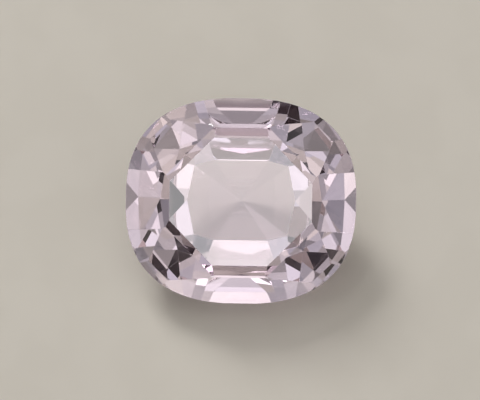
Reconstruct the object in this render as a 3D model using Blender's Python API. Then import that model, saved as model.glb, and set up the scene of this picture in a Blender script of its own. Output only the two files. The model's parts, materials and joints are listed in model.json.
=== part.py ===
"""A cushion mixed-cut purple sapphire, lying on one of its culet facets.

Lengths are in metres and angles in degrees. The stone is cut standing upright: its table is level
and faces up, +X runs along its length, +Y across its width, and the middle of its girdle is at
height zero. It is then tipped over onto a flat facet beside its culet, which turns its table
to -Y, and moved so that it lies on the ground with its box centred on the origin.

A facet is a plane, given by the compass direction that it faces (0 is +X, 90 is +Y), its slope
from the table's plane, and how far out and how high it passes. Each cut takes away what lies
outside one plane, as a grinding lap does. The stone has two mirror lines, so a facet that faces
one direction has its like in the other quarters.
"""

import math

import bmesh
import bpy
from mathutils import Matrix, Vector

# Outline, seen from above the table
STONE_LENGTH = 0.0115
STONE_WIDTH = 0.01025
OUTLINE_FULLNESS = 2.5  # exponent of the cushion curve: 2 is an ellipse, and more is squarer

# The block that the stone is ground from
ROUGH_RADIUS = 0.009
ROUGH_HEIGHT = 0.016
ROUGH_SIDES = 16

# Girdle
GIRDLE_THICKNESS = 0.00021
GIRDLE_FACETS = 64

# Compass directions
END = 0
SIDE = 90
TABLE_CORNER = 44.5

# Crown: the table, the narrow ring round it, the main facets, then a row down to the girdle.
# A break facet lies between two main facets, and passes over the girdle by its rise.
TABLE_HEIGHT = 0.00175
TABLE_REACH = {END: 0.00381, TABLE_CORNER: 0.00320, SIDE: 0.00317}
RING_WIDTH = {END: 0.00042, TABLE_CORNER: 0.00036, SIDE: 0.00051}
RING_SLOPE = {END: 12.6, TABLE_CORNER: 20.5, SIDE: 11.6}
CROWN_SLOPE = {END: 37, TABLE_CORNER: 31.2, SIDE: 23.1}
END_BREAK = 25  # direction
END_BREAK_SLOPE = 36.7
END_BREAK_RISE = 0.00013
SIDE_BREAK = 67  # direction
SIDE_BREAK_SLOPE = 37.7
SIDE_BREAK_RISE = 0.0003
UPPER_GIRDLE_FACETS = 16
UPPER_GIRDLE_SLOPE = {END: 36.7, SIDE: 46.6}

# Pavilion: two rows below the girdle, steep facets, then a shallow tier round the culet.
# The tier's rim is level. It is an outline of ten edges, given by three corners in one quarter.
LOWER_GIRDLE_FACETS = 32
LOWER_GIRDLE_SLOPE = 63.8
SECOND_ROW_FACETS = 32
SECOND_ROW_SLOPE = 52.1
SECOND_ROW_DROP = 0.00023  # below the girdle's lower edge, at the outline
RIM_DEPTH = 0.00304
RIM_END = (0.00271, 0)
RIM_CORNER = (0.00235, 0.00174)
RIM_SIDE = (0.00136, 0.00200)
CULET_SLOPE = 29.3  # of the facet that the stone lies on
END_PAIR_SLOPE = 38.5
SIDE_PAIR_SLOPE = 39.8
SIDE_SLOPE = 41.4
END_WEDGE_SLOPE = 43.9
CORNER_WEDGE_SLOPE = 44.9
CORNER_WEDGE = 49.5  # direction

# Cutting
CUT_TOLERANCE = 2e-7
MERGE_DISTANCE = 2e-6

# Sapphire
BODY_COLOUR = (0.86, 0.78, 0.88, 1)
ROUGHNESS = 0.0
REFRACTIVE_INDEX = 1.77


def tangent(degrees):
    return math.tan(math.radians(degrees))


def outline_reach(direction):
    """How far out the cushion outline's tangent lies, in the direction that it faces."""
    along = STONE_LENGTH / 2 * abs(math.cos(math.radians(direction)))
    across = STONE_WIDTH / 2 * abs(math.sin(math.radians(direction)))
    power = OUTLINE_FULLNESS / (OUTLINE_FULLNESS - 1)
    return (along**power + across**power) ** (1 / power)


def mirrored(direction):
    """The direction and its likes past the stone's two mirror lines."""
    return sorted({direction % 360, (180 - direction) % 360, (180 + direction) % 360, -direction % 360})


def spread(count, turned=0.0):
    """So many directions evenly round the stone, from one that faces the end.

    Turned by half a step, they have a joint between two facets there instead.
    """
    return [(step + turned) * 360 / count for step in range(count)]


def facet(direction, slope, reach, height):
    """A plane's point and outward normal. A slope over zero looks up, and one under zero looks down."""
    heading = Vector((math.cos(math.radians(direction)), math.sin(math.radians(direction)), 0))
    lean = math.radians(abs(slope))
    normal = heading * math.sin(lean) + Vector((0, 0, math.copysign(math.cos(lean), slope)))
    return heading * reach + Vector((0, 0, height)), normal


def edge_facing(start, end):
    """The direction that a straight edge of the rim faces, and its distance from the centre."""
    along = Vector(end) - Vector(start)
    outward = Vector((along.y, -along.x)).normalized()
    reach = outward.dot(Vector(start))
    return math.degrees(math.atan2(outward.y, outward.x)), reach


def girdle_cuts():
    """Upright facets round the cushion outline."""
    return [facet(turn, 90, outline_reach(turn), 0) for turn in spread(GIRDLE_FACETS)]


def crown_cuts():
    """The table, its ring, the main facets, the breaks, and the row above the girdle."""
    cuts = [(Vector((0, 0, TABLE_HEIGHT)), Vector((0, 0, 1)))]
    for place, reach in TABLE_REACH.items():
        ring_foot = TABLE_HEIGHT - RING_WIDTH[place] * tangent(RING_SLOPE[place])
        for turn in mirrored(place):
            cuts.append(facet(turn, RING_SLOPE[place], reach, TABLE_HEIGHT))
            cuts.append(facet(turn, CROWN_SLOPE[place], reach + RING_WIDTH[place], ring_foot))
    breaks = (
        (END_BREAK, END_BREAK_SLOPE, END_BREAK_RISE),
        (SIDE_BREAK, SIDE_BREAK_SLOPE, SIDE_BREAK_RISE),
    )
    for direction, slope, rise in breaks:
        for turn in mirrored(direction):
            cuts.append(facet(turn, slope, outline_reach(turn), GIRDLE_THICKNESS / 2 + rise))
    for turn in spread(UPPER_GIRDLE_FACETS):
        share = math.sin(math.radians(turn)) ** 2
        slope = UPPER_GIRDLE_SLOPE[END] * (1 - share) + UPPER_GIRDLE_SLOPE[SIDE] * share
        cuts.append(facet(turn, slope, outline_reach(turn), GIRDLE_THICKNESS / 2))
    return cuts


def pavilion_cuts():
    """Two rows below the girdle, the steep facets down to the rim, and the tier round the culet."""
    cuts = []
    for turn in spread(LOWER_GIRDLE_FACETS, 0.5):
        cuts.append(facet(turn, -LOWER_GIRDLE_SLOPE, outline_reach(turn), -GIRDLE_THICKNESS / 2))
    second_row_depth = GIRDLE_THICKNESS / 2 + SECOND_ROW_DROP
    for turn in spread(SECOND_ROW_FACETS):
        cuts.append(facet(turn, -SECOND_ROW_SLOPE, outline_reach(turn), -second_row_depth))
    end_pair = edge_facing(RIM_END, RIM_CORNER)
    side_pair = edge_facing(RIM_CORNER, RIM_SIDE)
    side = (SIDE, RIM_SIDE[1])
    corner_reach = Vector(RIM_CORNER).dot(
        Vector((math.cos(math.radians(CORNER_WEDGE)), math.sin(math.radians(CORNER_WEDGE))))
    )
    steep_facets = (
        (end_pair, END_PAIR_SLOPE),
        (side_pair, SIDE_PAIR_SLOPE),
        (side, SIDE_SLOPE),
        ((END, RIM_END[0]), END_WEDGE_SLOPE),
        ((CORNER_WEDGE, corner_reach), CORNER_WEDGE_SLOPE),
    )
    for (direction, reach), slope in steep_facets:
        for turn in mirrored(direction):
            cuts.append(facet(turn, -slope, reach, -RIM_DEPTH))
    culet_drop = RIM_SIDE[1] * tangent(CULET_SLOPE)
    for direction, reach in (end_pair, side_pair, side):
        slope = math.degrees(math.atan(culet_drop / reach))
        for turn in mirrored(direction):
            cuts.append(facet(turn, -slope, reach, -RIM_DEPTH))
    return cuts


def grind(mesh, point, normal):
    """Takes away what lies outside the plane, and closes the cut with one flat face."""
    everything = mesh.verts[:] + mesh.edges[:] + mesh.faces[:]
    cut = bmesh.ops.bisect_plane(
        mesh,
        geom=everything,
        dist=CUT_TOLERANCE,
        plane_co=point,
        plane_no=normal,
        clear_outer=True,
    )
    rim = [piece for piece in cut["geom_cut"] if isinstance(piece, bmesh.types.BMEdge)]
    open_rim = [edge for edge in rim if len(edge.link_faces) == 1]
    if len(open_rim) > 2:
        bmesh.ops.contextual_create(mesh, geom=open_rim)


def cut_stone():
    """The finished stone as a mesh, standing upright on its culet."""
    mesh = bmesh.new()
    bmesh.ops.create_cone(
        mesh,
        cap_ends=True,
        segments=ROUGH_SIDES,
        radius1=ROUGH_RADIUS,
        radius2=ROUGH_RADIUS,
        depth=ROUGH_HEIGHT,
    )
    for point, normal in girdle_cuts() + crown_cuts() + pavilion_cuts():
        grind(mesh, point, normal)
    bmesh.ops.remove_doubles(mesh, verts=mesh.verts[:], dist=MERGE_DISTANCE)
    bmesh.ops.recalc_face_normals(mesh, faces=mesh.faces[:])
    data = bpy.data.meshes.new("purple_sapphire")
    mesh.to_mesh(data)
    mesh.free()
    return data


def lay_down(stone):
    """Tips the stone onto its culet facet that faces -Y, with that facet on the ground."""
    tip = Matrix.Rotation(math.radians(CULET_SLOPE), 4, "X")
    corners = [tip @ vertex.co for vertex in stone.data.vertices]
    low = Vector([min(corner[axis] for corner in corners) for axis in range(3)])
    high = Vector([max(corner[axis] for corner in corners) for axis in range(3)])
    shift = Vector((-(low.x + high.x) / 2, -(low.y + high.y) / 2, -low.z))
    stone.matrix_world = Matrix.Translation(shift) @ tip


def sapphire():
    """Clear pale purple crystal, polished all over."""
    material = bpy.data.materials.new("sapphire")
    material.use_nodes = True
    shader = material.node_tree.nodes["Principled BSDF"]
    shader.inputs["Base Color"].default_value = BODY_COLOUR
    shader.inputs["Roughness"].default_value = ROUGHNESS
    shader.inputs["Metallic"].default_value = 0
    shader.inputs["Transmission Weight"].default_value = 1
    shader.inputs["IOR"].default_value = REFRACTIVE_INDEX
    return material


def main():
    for leftover in list(bpy.data.objects):
        bpy.data.objects.remove(leftover)
    collection = bpy.data.collections.new("purple_sapphire")
    bpy.context.scene.collection.children.link(collection)
    stone = bpy.data.objects.new("purple_sapphire", cut_stone())
    stone.data.materials.append(sapphire())
    collection.objects.link(stone)
    lay_down(stone)


if __name__ == "__main__":
    main()
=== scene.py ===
"""A pale purple sapphire, cushion cut, lying on one of its culet facets on a plain pale floor.

The stone is one clear crystal, so its whole look comes from light that bends into it, turns round
inside it and comes out again. The stone keeps the faces that it was cut with. This script gives it
its crystal and polish, the lamps and dark cards whose reflections make its bright and dark tiles,
the floor and the camera.
"""

import json
import math

import bpy
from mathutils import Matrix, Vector

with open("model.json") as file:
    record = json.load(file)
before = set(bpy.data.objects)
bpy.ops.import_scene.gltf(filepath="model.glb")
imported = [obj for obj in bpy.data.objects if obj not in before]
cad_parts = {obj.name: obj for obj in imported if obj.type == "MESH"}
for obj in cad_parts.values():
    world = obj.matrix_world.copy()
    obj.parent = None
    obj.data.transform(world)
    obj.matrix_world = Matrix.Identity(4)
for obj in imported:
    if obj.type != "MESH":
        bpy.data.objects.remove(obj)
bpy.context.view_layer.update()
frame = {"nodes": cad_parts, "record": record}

bl_info = {
    "name": "Purple Sapphire",
    "version": (1, 0, 0),
    "blender": (4, 5, 0),
    "location": "View3D > Sidebar > Sapphire",
    "description": "Crystal, polish, studio and camera for a faceted purple sapphire",
    "category": "Object",
}

NODE = "purple_sapphire"

# Studio and camera
SHEET_DISTANCE = 0.6  # from the stone to each lamp and card
SENSOR_WIDTH = 36  # in millimetres, as Blender's cameras take it
CLIP_START = 0.01
STONE_BOUNCES = 24  # turns that light may take in the stone
MIRROR_BOUNCES = 16
FLOOR_BOUNCES = 3

# Finishes. An edge pair gives the noise values between which an effect fades in.
ZONE_EDGES = (0.4, 0.7)
HAZE_EDGES = (0.5, 0.75)
MOTTLE_EDGES = (0.4, 0.6)
HUE_EDGES = (0.35, 0.65)
NOISE_MIDDLE = 0.5
WAVE_LENGTH = 0.314  # of a wave texture whose scale is 1
EDGE_COSINE = 0.9995  # between the rounded normal and the facet's own, where the wear begins
EDGE_SAMPLES = 4
GIRDLE_MARGIN = 0.00001  # how far the ground finish reaches past the girdle's band
FLOOR_SPECULAR = 0.2


def table_mount():
    """The table's middle and the way that it faces, as the packed record gives them."""
    for mount in frame["record"]["mounts"]:
        if mount["name"] == "table":
            return Vector(mount["pos_m"]), Vector(mount["axis"]).normalized()
    raise RuntimeError("the packed record has no mount named table")


TABLE_MIDDLE, TABLE_AXIS = table_mount()
STONE_TILT = math.atan2(-TABLE_AXIS.y, TABLE_AXIS.z)


def direction(azimuth, elevation):
    """A unit vector. Azimuth 0 is +Y, away from the camera, and a right angle is +X."""
    level = math.cos(elevation)
    return Vector((math.sin(azimuth) * level, math.cos(azimuth) * level, math.sin(elevation)))


def degrees(value):
    """An angle given in degrees, in the radians that Blender takes."""
    return math.radians(value)


# Sizes and colours


class SapphireCrystal(bpy.types.PropertyGroup):
    """The crystal's body."""

    refraction: bpy.props.FloatProperty(
        name="Refraction",
        description="Refractive index of corundum",
        default=1.77,
    )
    surface_tint: bpy.props.FloatVectorProperty(
        name="Surface tint",
        description="Colour that light takes on where it passes the stone's faces",
        default=(0.98, 0.895, 0.975),
        subtype="COLOR",
        size=3,
        min=0,
        max=1,
    )
    zone_tint: bpy.props.FloatVectorProperty(
        name="Zone tint",
        description="Tint in the growth zones, where the crystal holds more colour",
        default=(0.97, 0.865, 0.96),
        subtype="COLOR",
        size=3,
        min=0,
        max=1,
    )
    depth_colour: bpy.props.FloatVectorProperty(
        name="Depth colour",
        description="Colour that light keeps on its way through the crystal",
        default=(0.84, 0.50, 0.72),
        subtype="COLOR",
        size=3,
        min=0,
        max=1,
    )
    depth_density: bpy.props.FloatProperty(
        name="Depth density",
        description="How strongly the crystal takes the other colours away, per metre",
        default=12,
        min=0,
    )
    zone_spacing: bpy.props.FloatProperty(
        name="Zone spacing",
        description="Distance from one growth zone to the next",
        default=0.0021,
        unit="LENGTH",
    )


class SapphirePolish(bpy.types.PropertyGroup):
    """The polish on the facets and the finish of the girdle."""

    facet_roughness: bpy.props.FloatProperty(
        name="Facet roughness",
        description="Roughness of a well polished facet",
        default=0.0,
        min=0,
        max=1,
    )
    haze: bpy.props.FloatProperty(
        name="Haze",
        description="Roughness that faint handling haze adds in patches",
        default=0.02,
        min=0,
        max=1,
    )
    haze_spacing: bpy.props.FloatProperty(
        name="Haze spacing",
        description="Distance from one patch of haze to the next",
        default=0.0016,
        unit="LENGTH",
    )
    swell: bpy.props.FloatProperty(
        name="Swell",
        description="Height of the slow swell that hand polishing leaves on a facet",
        default=0.0000008,
        min=0,
        unit="LENGTH",
    )
    swell_spacing: bpy.props.FloatProperty(
        name="Swell spacing",
        description="Distance from one swell to the next",
        default=0.0018,
        unit="LENGTH",
    )
    line_spacing: bpy.props.FloatProperty(
        name="Line spacing",
        description="Distance from one fine polishing line to the next",
        default=0.00006,
        unit="LENGTH",
    )
    line_roughness: bpy.props.FloatProperty(
        name="Line roughness",
        description="Roughness in the fine polishing lines",
        default=0.015,
        min=0,
        max=1,
    )
    grain_spacing: bpy.props.FloatProperty(
        name="Grain spacing",
        description="Size of the grains in the ground girdle",
        default=0.00003,
        unit="LENGTH",
    )
    grain_height: bpy.props.FloatProperty(
        name="Grain height",
        description="Depth of the grains in the ground girdle",
        default=0.000002,
        unit="LENGTH",
    )
    edge_width: bpy.props.FloatProperty(
        name="Edge width",
        description="How far the wear reaches from an edge between two facets",
        default=0.00003,
        unit="LENGTH",
    )
    edge_roughness: bpy.props.FloatProperty(
        name="Edge roughness",
        description="Roughness of the worn edges",
        default=0.25,
        min=0,
        max=1,
    )
    girdle_roughness: bpy.props.FloatProperty(
        name="Girdle roughness",
        description="Roughness of the girdle, which is ground and not polished",
        default=0.3,
        min=0,
        max=1,
    )
    girdle_thickness: bpy.props.FloatProperty(
        name="Girdle thickness",
        description="Height of the girdle band",
        default=0.00021,
        unit="LENGTH",
    )
    table_height: bpy.props.FloatProperty(
        name="Table height",
        description="Height of the table over the middle of the girdle",
        default=0.00175,
        unit="LENGTH",
    )


class SapphireFloor(bpy.types.PropertyGroup):
    """The floor that the stone lies on."""

    size: bpy.props.FloatProperty(
        name="Size",
        description="Length of the floor's sides",
        default=1.6,
        unit="LENGTH",
    )
    colour: bpy.props.FloatVectorProperty(
        name="Colour",
        description="Colour of the floor",
        default=(0.72, 0.68, 0.61),
        subtype="COLOR",
        size=3,
        min=0,
        max=1,
    )
    mottle_colour: bpy.props.FloatVectorProperty(
        name="Mottle colour",
        description="Colour of the floor in its faintly darker patches",
        default=(0.705, 0.665, 0.595),
        subtype="COLOR",
        size=3,
        min=0,
        max=1,
    )
    mottle_spacing: bpy.props.FloatProperty(
        name="Mottle spacing",
        description="Distance from one darker patch to the next",
        default=0.004,
        unit="LENGTH",
    )
    gap: bpy.props.FloatProperty(
        name="Gap",
        description="Air between the floor and the stone, so that their faces don't fall together",
        default=0.00003,
        unit="LENGTH",
    )
    roughness: bpy.props.FloatProperty(
        name="Roughness",
        description="Roughness of the floor",
        default=0.9,
        min=0,
        max=1,
    )


class SapphireSky(bpy.types.PropertyGroup):
    """The even light of the room round the stone."""

    horizon: bpy.props.FloatProperty(
        name="Horizon",
        description="Brightness at the horizon",
        default=0.1,
        min=0,
    )
    zenith: bpy.props.FloatProperty(
        name="Zenith",
        description="Brightness overhead",
        default=0.5,
        min=0,
    )
    lean: bpy.props.FloatVectorProperty(
        name="Lean",
        description="How much brighter the room is towards +X and +Y",
        default=(0.09, -0.38, 0),
        subtype="XYZ",
        size=3,
    )
    unevenness: bpy.props.FloatProperty(
        name="Unevenness",
        description="How much darker and lighter patches of the room are than its average",
        default=1.8,
        min=0,
    )
    patch_scale: bpy.props.FloatProperty(
        name="Patch scale",
        description="How many patches the room's light has across the sky",
        default=5,
        min=0,
    )
    warm: bpy.props.FloatVectorProperty(
        name="Warm colour",
        description="Colour of the room's light where it comes off warm walls",
        default=(1.0, 0.95, 0.84),
        subtype="COLOR",
        size=3,
        min=0,
        max=1,
    )
    cool: bpy.props.FloatVectorProperty(
        name="Cool colour",
        description="Colour of the room's light where it comes from the window",
        default=(0.93, 0.94, 1.0),
        subtype="COLOR",
        size=3,
        min=0,
        max=1,
    )
    colour_scale: bpy.props.FloatProperty(
        name="Colour scale",
        description="How many warm and cool patches the room has across the sky",
        default=3.3,
        min=0,
    )


class SapphireCamera(bpy.types.PropertyGroup):
    """Where the camera stands."""

    azimuth: bpy.props.FloatProperty(
        name="Azimuth",
        description="Compass direction from the stone to the camera",
        default=degrees(179),
        subtype="ANGLE",
    )
    elevation: bpy.props.FloatProperty(
        name="Elevation",
        description="Height of the camera over the horizon",
        default=degrees(62.3),
        subtype="ANGLE",
    )
    distance: bpy.props.FloatProperty(
        name="Distance",
        description="Distance from the camera to the middle of the stone",
        default=0.22,
        unit="LENGTH",
    )
    frame_width: bpy.props.FloatProperty(
        name="Frame width",
        description="Width that the picture takes in at the stone",
        default=0.024,
        unit="LENGTH",
    )
    aim: bpy.props.FloatVectorProperty(
        name="Aim",
        description="Point that the camera looks at",
        default=(-0.00005, 0.00008, 0.0035),
        subtype="TRANSLATION",
        size=3,
    )


def sheet_settings(name, about, azimuth, elevation, half_width, half_height, light, colour):
    """A PropertyGroup for one lamp or card, seen from the stone as an upright rectangle."""
    fields = {
        "azimuth": bpy.props.FloatProperty(
            name="Azimuth",
            description="Compass direction from the stone",
            default=degrees(azimuth),
            subtype="ANGLE",
        ),
        "elevation": bpy.props.FloatProperty(
            name="Elevation",
            description="Height over the horizon",
            default=degrees(elevation),
            subtype="ANGLE",
        ),
        "half_width": bpy.props.FloatProperty(
            name="Half width",
            description="Angle from its middle to its side",
            default=degrees(half_width),
            subtype="ANGLE",
        ),
        "half_height": bpy.props.FloatProperty(
            name="Half height",
            description="Angle from its middle to its top",
            default=degrees(half_height),
            subtype="ANGLE",
        ),
        "light": bpy.props.FloatProperty(
            name="Brightness",
            description="Brightness of its face, where 0 makes it a card",
            default=light,
            min=0,
        ),
        "colour": bpy.props.FloatVectorProperty(
            name="Colour",
            description="Colour of its light, or of the card",
            default=colour,
            subtype="COLOR",
            size=3,
            min=0,
            max=1,
        ),
    }
    return type(name, (bpy.types.PropertyGroup,), {"__doc__": about, "__annotations__": fields})


DAYLIGHT = (1.0, 0.99, 0.98)
WARM = (1.0, 0.95, 0.82)
COOL = (0.92, 0.94, 1.0)
DARK = (0.03, 0.018, 0.024)
DIM = (0.55, 0.48, 0.46)

SHEETS = {
    "key_lamp": sheet_settings(
        "SapphireKeyLamp", "Lamp behind the stone on the left.", -30, 42, 9, 11, 11.5, DAYLIGHT
    ),
    "far_lamp": sheet_settings(
        "SapphireFarLamp", "Strip lamp high behind the stone.", -13.5, 64, 18, 5.8, 0.9, DAYLIGHT
    ),
    "ceiling_lamp": sheet_settings(
        "SapphireCeilingLamp", "Bright strip lamp high on the left.", -69, 72.5, 23, 4, 1.6, DAYLIGHT
    ),
    "overhead_lamp": sheet_settings(
        "SapphireOverheadLamp", "Faint lamp straight overhead.", 57, 87, 10, 15, 0.35, DAYLIGHT
    ),
    "table_lamp": sheet_settings(
        "SapphireTableLamp", "Small lamp that the table mirrors.", 180.8, 59.2, 1.6, 1.6, 2.6, COOL
    ),
    "camera_lamp": sheet_settings(
        "SapphireCameraLamp", "Lamp under the camera.", 180, 47, 8.5, 3.5, 0.6, DAYLIGHT
    ),
    "front_left_lamp": sheet_settings(
        "SapphireFrontLeftLamp", "Broad faint lamp beside the camera.", 200, 46.5, 17, 7, 0.1, COOL
    ),
    "right_lamp": sheet_settings(
        "SapphireRightLamp", "Lamp on the right.", 131, 40.5, 10, 7.5, 0.4, WARM
    ),
    "high_right_lamp": sheet_settings(
        "SapphireHighRightLamp", "Small lamp high on the right.", 147, 62.5, 3, 2.5, 0.5, DAYLIGHT
    ),
    "window_lamp": sheet_settings(
        "SapphireWindowLamp", "Small lamp over the stone on the right.", 101, 77.5, 3, 2.5, 0.6, DAYLIGHT
    ),
    "back_left_lamp": sheet_settings(
        "SapphireBackLeftLamp", "Small lamp behind the stone on the left.", -63, 48, 3, 3, 0.7, DAYLIGHT
    ),
    "back_lamp": sheet_settings(
        "SapphireBackLamp", "Small faint lamp straight behind the stone.", -4, 52.5, 3, 2.5, 0.4, WARM
    ),
    "front_lamp": sheet_settings(
        "SapphireFrontLamp", "Small lamp in front, under the camera lamp.", 178, 39, 7, 3.5, 0.3, DAYLIGHT
    ),
    "left_lamp": sheet_settings(
        "SapphireLeftLamp", "Small lamp on the left of the camera.", -144, 50, 3.5, 3, 0.45, DAYLIGHT
    ),
    "high_left_lamp": sheet_settings(
        "SapphireHighLeftLamp", "Small lamp high on the left.", -125, 60, 4.5, 2.5, 0.45, WARM
    ),
    "side_right_lamp": sheet_settings(
        "SapphireSideRightLamp", "Small lamp above the right lamp.", 133, 55, 3.5, 3, 0.35, DAYLIGHT
    ),
    "low_right_lamp": sheet_settings(
        "SapphireLowRightLamp", "Small low lamp at the right.", 104, 4.2, 7.3, 4.2, 3.1, WARM
    ),
    "low_left_lamp": sheet_settings(
        "SapphireLowLeftLamp", "Small low lamp at the left.", -119, 3.8, 3, 3.8, 2.5, COOL
    ),
    "front_card": sheet_settings(
        "SapphireFrontCard", "Long low dark card under the camera.", 193, 15, 45, 3, 0, DARK
    ),
    "left_card": sheet_settings(
        "SapphireLeftCard", "Long dark card at the left.", -128, 27.5, 22.5, 4, 0, DARK
    ),
    "high_left_card": sheet_settings(
        "SapphireHighLeftCard", "Small dark card high on the left.", -130, 69, 7.5, 3.5, 0, DARK
    ),
    "side_left_card": sheet_settings(
        "SapphireSideLeftCard", "Small grey card on the left.", -105, 44, 5, 5, 0, DIM
    ),
    "front_right_card": sheet_settings(
        "SapphireFrontRightCard", "Low dark card in front on the right.", 146, 17, 18, 6, 0, DARK
    ),
    "right_card": sheet_settings(
        "SapphireRightCard", "Dark card on the right.", 109.5, 46, 5.5, 8.5, 0, DARK
    ),
    "far_right_card": sheet_settings(
        "SapphireFarRightCard", "Dark card behind the stone on the right.", 71, 24, 14.5, 10, 0, DARK
    ),
    "back_card": sheet_settings(
        "SapphireBackCard", "Wide dark card straight behind the stone.", 0, 27, 18, 6, 0, DARK
    ),
    "zenith_card": sheet_settings(
        "SapphireZenithCard", "Small grey card straight overhead.", -162, 88.5, 2, 2, 0, DIM
    ),
    "steep_card": sheet_settings(
        "SapphireSteepCard", "Small grey card high over the camera.", 154, 78, 2, 3.5, 0, DIM
    ),
    "front_left_card": sheet_settings(
        "SapphireFrontLeftCard", "Small dark card on the left in front.", -126, 51, 4.5, 4.5, 0, DARK
    ),
    "far_card": sheet_settings(
        "SapphireFarCard", "Large dark card behind the stone on the right.", 33, 35, 14, 12.5, 0, DARK
    ),
}


# Materials


def new_material(name):
    material = bpy.data.materials.new(name)
    material.use_nodes = True
    return material, material.node_tree.nodes["Principled BSDF"]


def add(tree, kind, **inputs):
    """A new node whose sockets take the given values."""
    node = tree.nodes.new(kind)
    for socket, value in inputs.items():
        node.inputs[socket.replace("_", " ")].default_value = value
    return node


def feed(tree, value, socket):
    """Gives a socket a link, a number or a colour."""
    if isinstance(value, bpy.types.NodeSocket):
        tree.links.new(value, socket)
    elif socket.type == "RGBA":
        socket.default_value = (*value, 1)
    else:
        socket.default_value = value


def calculate(tree, operation, first, second=None):
    """A Math node on numbers or links."""
    node = tree.nodes.new("ShaderNodeMath")
    node.operation = operation
    feed(tree, first, node.inputs[0])
    if second is not None:
        feed(tree, second, node.inputs[1])
    return node.outputs[0]


def mix(tree, kind, factor, first, second):
    """A Mix node on numbers, colours or links. Its kind is FLOAT or RGBA."""
    node = tree.nodes.new("ShaderNodeMix")
    node.data_type = kind
    tree.links.new(factor, node.inputs["Factor"])
    feed(tree, first, node.inputs["A"])
    feed(tree, second, node.inputs["B"])
    return node.outputs["Result"]


def soft_patches():
    """The node group behind the crystal's zones and haze, and the floor's mottling.

    Its mask rises smoothly from 0 to 1 where a noise, whose patches lie about one Spacing apart,
    goes From one value To another.
    """
    made = bpy.data.node_groups.get("soft_patches")
    if made:
        return made
    group = bpy.data.node_groups.new("soft_patches", "ShaderNodeTree")
    sockets = group.interface
    sockets.new_socket("Place", in_out="INPUT", socket_type="NodeSocketVector")
    for name in ("Spacing", "From", "To"):
        sockets.new_socket(name, in_out="INPUT", socket_type="NodeSocketFloat")
    sockets.new_socket("Mask", in_out="OUTPUT", socket_type="NodeSocketFloat")
    source = group.nodes.new("NodeGroupInput")
    result = group.nodes.new("NodeGroupOutput")
    noise = add(group, "ShaderNodeTexNoise", Detail=2.0)
    soft = group.nodes.new("ShaderNodeMapRange")
    soft.interpolation_type = "SMOOTHSTEP"
    group.links.new(source.outputs["Place"], noise.inputs["Vector"])
    group.links.new(calculate(group, "DIVIDE", 1.0, source.outputs["Spacing"]), noise.inputs["Scale"])
    group.links.new(noise.outputs["Fac"], soft.inputs["Value"])
    group.links.new(source.outputs["From"], soft.inputs["From Min"])
    group.links.new(source.outputs["To"], soft.inputs["From Max"])
    group.links.new(soft.outputs["Result"], result.inputs["Mask"])
    return group


def patches(tree, place, spacing, edges):
    """The mask of one effect in one material."""
    node = tree.nodes.new("ShaderNodeGroup")
    node.node_tree = soft_patches()
    node.inputs["Spacing"].default_value = spacing
    node.inputs["From"].default_value, node.inputs["To"].default_value = edges
    tree.links.new(place, node.inputs["Place"])
    return node.outputs["Mask"]


def stone_frame(tree, middle):
    """Coordinates in which the stone stands upright, with the middle of its girdle at zero."""
    place = tree.nodes.new("ShaderNodeTexCoord")
    turn = tree.nodes.new("ShaderNodeMapping")
    turn.vector_type = "TEXTURE"
    turn.inputs["Location"].default_value = middle
    turn.inputs["Rotation"].default_value = (STONE_TILT, 0, 0)
    tree.links.new(place.outputs["Object"], turn.inputs["Vector"])
    return turn.outputs["Vector"]


def girdle_mask(tree, upright, thickness):
    """1 on the ground girdle and 0 on the polished facets."""
    split = tree.nodes.new("ShaderNodeSeparateXYZ")
    tree.links.new(upright, split.inputs[0])
    height = calculate(tree, "ABSOLUTE", split.outputs["Z"])
    return calculate(tree, "LESS_THAN", height, thickness / 2 + GIRDLE_MARGIN)


def edge_mask(tree, width):
    """1 at the edges between facets, where a rounded normal leaves the facet's own."""
    rounded = tree.nodes.new("ShaderNodeBevel")
    rounded.samples = EDGE_SAMPLES
    rounded.inputs["Radius"].default_value = width
    flat = tree.nodes.new("ShaderNodeNewGeometry")
    same = tree.nodes.new("ShaderNodeVectorMath")
    same.operation = "DOT_PRODUCT"
    tree.links.new(rounded.outputs["Normal"], same.inputs[0])
    tree.links.new(flat.outputs["True Normal"], same.inputs[1])
    return calculate(tree, "LESS_THAN", same.outputs["Value"], EDGE_COSINE)


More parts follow.
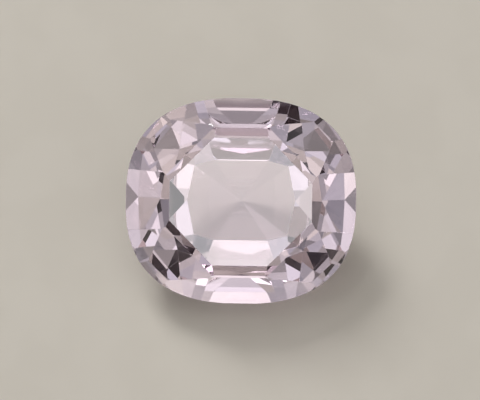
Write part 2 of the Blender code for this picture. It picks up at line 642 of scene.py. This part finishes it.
def crystal_material(crystal, polish):
    """Clear pale purple corundum with faint growth zones, worn facet edges and a ground girdle."""
    material, shader = new_material("clear_purple_crystal")
    tree = material.node_tree
    shader.inputs["Transmission Weight"].default_value = 1
    shader.inputs["IOR"].default_value = crystal.refraction
    middle = TABLE_MIDDLE - TABLE_AXIS * polish.table_height
    upright = stone_frame(tree, middle)
    girdle = girdle_mask(tree, upright, polish.girdle_thickness)

    zones = patches(tree, upright, crystal.zone_spacing, ZONE_EDGES)
    tint = mix(tree, "RGBA", zones, crystal.surface_tint, crystal.zone_tint)
    tree.links.new(tint, shader.inputs["Base Color"])

    haze = patches(tree, upright, polish.haze_spacing, HAZE_EDGES)
    facets = mix(tree, "FLOAT", haze, polish.facet_roughness, polish.haze)
    line_scale = WAVE_LENGTH / polish.line_spacing
    lines = add(tree, "ShaderNodeTexWave", Scale=line_scale, Distortion=3.0, Detail=2.0)
    tree.links.new(upright, lines.inputs["Vector"])
    scored = calculate(tree, "MULTIPLY", lines.outputs["Fac"], haze)
    facets = mix(tree, "FLOAT", scored, facets, polish.line_roughness)
    facets = mix(tree, "FLOAT", edge_mask(tree, polish.edge_width), facets, polish.edge_roughness)
    roughness = mix(tree, "FLOAT", girdle, facets, polish.girdle_roughness)
    tree.links.new(roughness, shader.inputs["Roughness"])

    swell = add(tree, "ShaderNodeTexNoise", Scale=1 / polish.swell_spacing, Detail=1.0)
    tree.links.new(upright, swell.inputs["Vector"])
    grain = add(tree, "ShaderNodeTexNoise", Scale=1 / polish.grain_spacing, Detail=2.0)
    tree.links.new(upright, grain.inputs["Vector"])
    swell_height = calculate(tree, "MULTIPLY", swell.outputs["Fac"], polish.swell)
    grain_height = calculate(tree, "MULTIPLY", grain.outputs["Fac"], polish.grain_height)
    relief = add(tree, "ShaderNodeBump", Strength=1.0, Distance=1.0)
    tree.links.new(mix(tree, "FLOAT", girdle, swell_height, grain_height), relief.inputs["Height"])
    tree.links.new(relief.outputs["Normal"], shader.inputs["Normal"])

    depth = tree.nodes.new("ShaderNodeVolumeAbsorption")
    depth.inputs["Color"].default_value = (*crystal.depth_colour, 1)
    depth.inputs["Density"].default_value = crystal.depth_density
    tree.links.new(depth.outputs["Volume"], tree.nodes["Material Output"].inputs["Volume"])
    return material


def floor_material(floor):
    """Matt pale paper with a faint mottling."""
    material, shader = new_material("floor_matt")
    tree = material.node_tree
    place = tree.nodes.new("ShaderNodeTexCoord")
    mottle = patches(tree, place.outputs["Object"], floor.mottle_spacing, MOTTLE_EDGES)
    colour = mix(tree, "RGBA", mottle, floor.colour, floor.mottle_colour)
    tree.links.new(colour, shader.inputs["Base Color"])
    shader.inputs["Roughness"].default_value = floor.roughness
    shader.inputs["Specular IOR Level"].default_value = FLOOR_SPECULAR
    return material


# Studio


def rectangle(name, width, height, level=0.0):
    """A flat mesh round its own origin, at the given level."""
    x = width / 2
    y = height / 2
    mesh = bpy.data.meshes.new(name)
    corner_places = [(-x, -y, level), (x, -y, level), (x, y, level), (-x, y, level)]
    mesh.from_pydata(corner_places, [], [(0, 1, 2, 3)])
    return mesh


def set_sheet(scene, name, settings):
    """One lamp or card, facing the stone from SHEET_DISTANCE."""
    place = direction(settings.azimuth, settings.elevation) * SHEET_DISTANCE
    width = 2 * SHEET_DISTANCE * math.tan(settings.half_width)
    height = 2 * SHEET_DISTANCE * math.tan(settings.half_height)
    if settings.light > 0:
        data = bpy.data.lights.new(name, "AREA")
        data.shape = "RECTANGLE"
        data.size = width
        data.size_y = height
        data.energy = settings.light * math.pi * width * height
        data.color = settings.colour
        sheet = bpy.data.objects.new(name, data)
    else:
        data = rectangle(name, width, height)
        material, shader = new_material(name + "_felt")
        shader.inputs["Base Color"].default_value = (*settings.colour, 1)
        shader.inputs["Roughness"].default_value = 1
        data.materials.append(material)
        sheet = bpy.data.objects.new(name, data)
    sheet.location = place
    sheet.rotation_mode = "QUATERNION"
    sheet.rotation_quaternion = (-place).to_track_quat("-Z", "Y")
    scene.collection.objects.link(sheet)


def soft_room(sky):
    """A world that grows brighter upwards and to one side, in uneven warm and cool patches."""
    world = bpy.data.worlds.new("soft_room")
    world.use_nodes = True
    tree = world.node_tree
    backdrop = tree.nodes["Background"]
    place = tree.nodes.new("ShaderNodeTexCoord").outputs["Generated"]

    split = tree.nodes.new("ShaderNodeSeparateXYZ")
    tree.links.new(place, split.inputs[0])
    rise = add(tree, "ShaderNodeMapRange", To_Min=sky.horizon, To_Max=sky.zenith)
    tree.links.new(split.outputs["Z"], rise.inputs["Value"])
    lean = tree.nodes.new("ShaderNodeVectorMath")
    lean.operation = "DOT_PRODUCT"
    lean.inputs[1].default_value = sky.lean
    tree.links.new(place, lean.inputs[0])
    gain = calculate(tree, "ADD", lean.outputs["Value"], 1.0)

    blotches = add(tree, "ShaderNodeTexNoise", Scale=sky.patch_scale, Detail=3.0, Roughness=0.6)
    tree.links.new(place, blotches.inputs["Vector"])
    swing = calculate(tree, "SUBTRACT", blotches.outputs["Fac"], NOISE_MIDDLE)
    swing = calculate(tree, "MULTIPLY", swing, 2 * sky.unevenness)
    gain = calculate(tree, "MULTIPLY", gain, calculate(tree, "ADD", swing, 1.0))
    strength = calculate(tree, "MULTIPLY", rise.outputs["Result"], gain)
    tree.links.new(strength, backdrop.inputs["Strength"])

    hues = add(tree, "ShaderNodeTexNoise", Scale=sky.colour_scale, Detail=1.0)
    tree.links.new(place, hues.inputs["Vector"])
    share = add(tree, "ShaderNodeMapRange", From_Min=HUE_EDGES[0], From_Max=HUE_EDGES[1])
    tree.links.new(hues.outputs["Fac"], share.inputs["Value"])
    colour = mix(tree, "RGBA", share.outputs["Result"], sky.warm, sky.cool)
    tree.links.new(colour, backdrop.inputs["Color"])
    return world


# Operators


class SAPPHIRE_OT_crystal(bpy.types.Operator):
    """Gives the stone its clear crystal and its polish"""

    bl_idname = "sapphire.crystal"
    bl_label = "Crystal"

    def execute(self, context):
        stone = frame["nodes"][NODE]
        if not stone.material_slots:
            raise RuntimeError("the stone has no material slot for its crystal")
        material = crystal_material(context.scene.sapphire_crystal, context.scene.sapphire_polish)
        for slot in stone.material_slots:
            slot.material = material
        return {"FINISHED"}


class SAPPHIRE_OT_floor(bpy.types.Operator):
    """Lays the plain pale floor under the stone"""

    bl_idname = "sapphire.floor"
    bl_label = "Floor"

    def execute(self, context):
        settings = context.scene.sapphire_floor
        data = rectangle("floor", settings.size, settings.size, -settings.gap)
        floor = bpy.data.objects.new("floor", data)
        context.scene.collection.objects.link(floor)
        data.materials.append(floor_material(settings))
        return {"FINISHED"}


class SAPPHIRE_OT_studio(bpy.types.Operator):
    """Sets the soft room light, the lamps and the cards"""

    bl_idname = "sapphire.studio"
    bl_label = "Studio"

    def execute(self, context):
        scene = context.scene
        scene.world = soft_room(scene.sapphire_sky)
        for name in SHEETS:
            set_sheet(scene, name, getattr(scene, "sapphire_" + name))
        scene.cycles.max_bounces = STONE_BOUNCES
        scene.cycles.transmission_bounces = STONE_BOUNCES
        scene.cycles.glossy_bounces = MIRROR_BOUNCES
        scene.cycles.diffuse_bounces = FLOOR_BOUNCES
        scene.view_settings.view_transform = "Standard"
        return {"FINISHED"}


class SAPPHIRE_OT_camera(bpy.types.Operator):
    """Stands the camera in front of the stone, looking down at its table"""

    bl_idname = "sapphire.camera"
    bl_label = "Camera"

    def execute(self, context):
        settings = context.scene.sapphire_camera
        data = bpy.data.cameras.new("camera")
        camera = bpy.data.objects.new("camera", data)
        aim = Vector(settings.aim)
        back = direction(settings.azimuth, settings.elevation)
        camera.location = aim + back * settings.distance
        camera.rotation_euler = (-back).to_track_quat("-Z", "Y").to_euler()
        data.sensor_width = SENSOR_WIDTH
        data.lens = data.sensor_width * settings.distance / settings.frame_width
        data.clip_start = CLIP_START
        context.scene.collection.objects.link(camera)
        context.scene.camera = camera
        return {"FINISHED"}


class SAPPHIRE_PT_panel(bpy.types.Panel):
    """The sapphire's pieces and settings"""

    bl_idname = "SAPPHIRE_PT_panel"
    bl_label = "Sapphire"
    bl_space_type = "VIEW_3D"
    bl_region_type = "UI"
    bl_category = "Sapphire"

    def draw(self, context):
        for operator in OPERATORS:
            self.layout.operator(operator.bl_idname)
        for name, group in SETTINGS.items():
            box = self.layout.box()
            box.label(text=group.__doc__)
            for field in group.__annotations__:
                box.prop(getattr(context.scene, "sapphire_" + name), field)


SETTINGS = {
    "crystal": SapphireCrystal,
    "polish": SapphirePolish,
    "floor": SapphireFloor,
    "sky": SapphireSky,
    "camera": SapphireCamera,
    **SHEETS,
}
OPERATORS = (
    SAPPHIRE_OT_crystal,
    SAPPHIRE_OT_floor,
    SAPPHIRE_OT_studio,
    SAPPHIRE_OT_camera,
)


def register():
    for group in SETTINGS.values():
        bpy.utils.register_class(group)
    for name, group in SETTINGS.items():
        setattr(bpy.types.Scene, "sapphire_" + name, bpy.props.PointerProperty(type=group))
    for operator in OPERATORS:
        bpy.utils.register_class(operator)
    bpy.utils.register_class(SAPPHIRE_PT_panel)


def unregister():
    bpy.utils.unregister_class(SAPPHIRE_PT_panel)
    for operator in reversed(OPERATORS):
        bpy.utils.unregister_class(operator)
    for name in SETTINGS:
        delattr(bpy.types.Scene, "sapphire_" + name)
    for group in reversed(SETTINGS.values()):
        bpy.utils.unregister_class(group)


def main():
    register()
    bpy.ops.sapphire.crystal()
    bpy.ops.sapphire.floor()
    bpy.ops.sapphire.studio()
    bpy.ops.sapphire.camera()


if __name__ == "__main__":
    main()
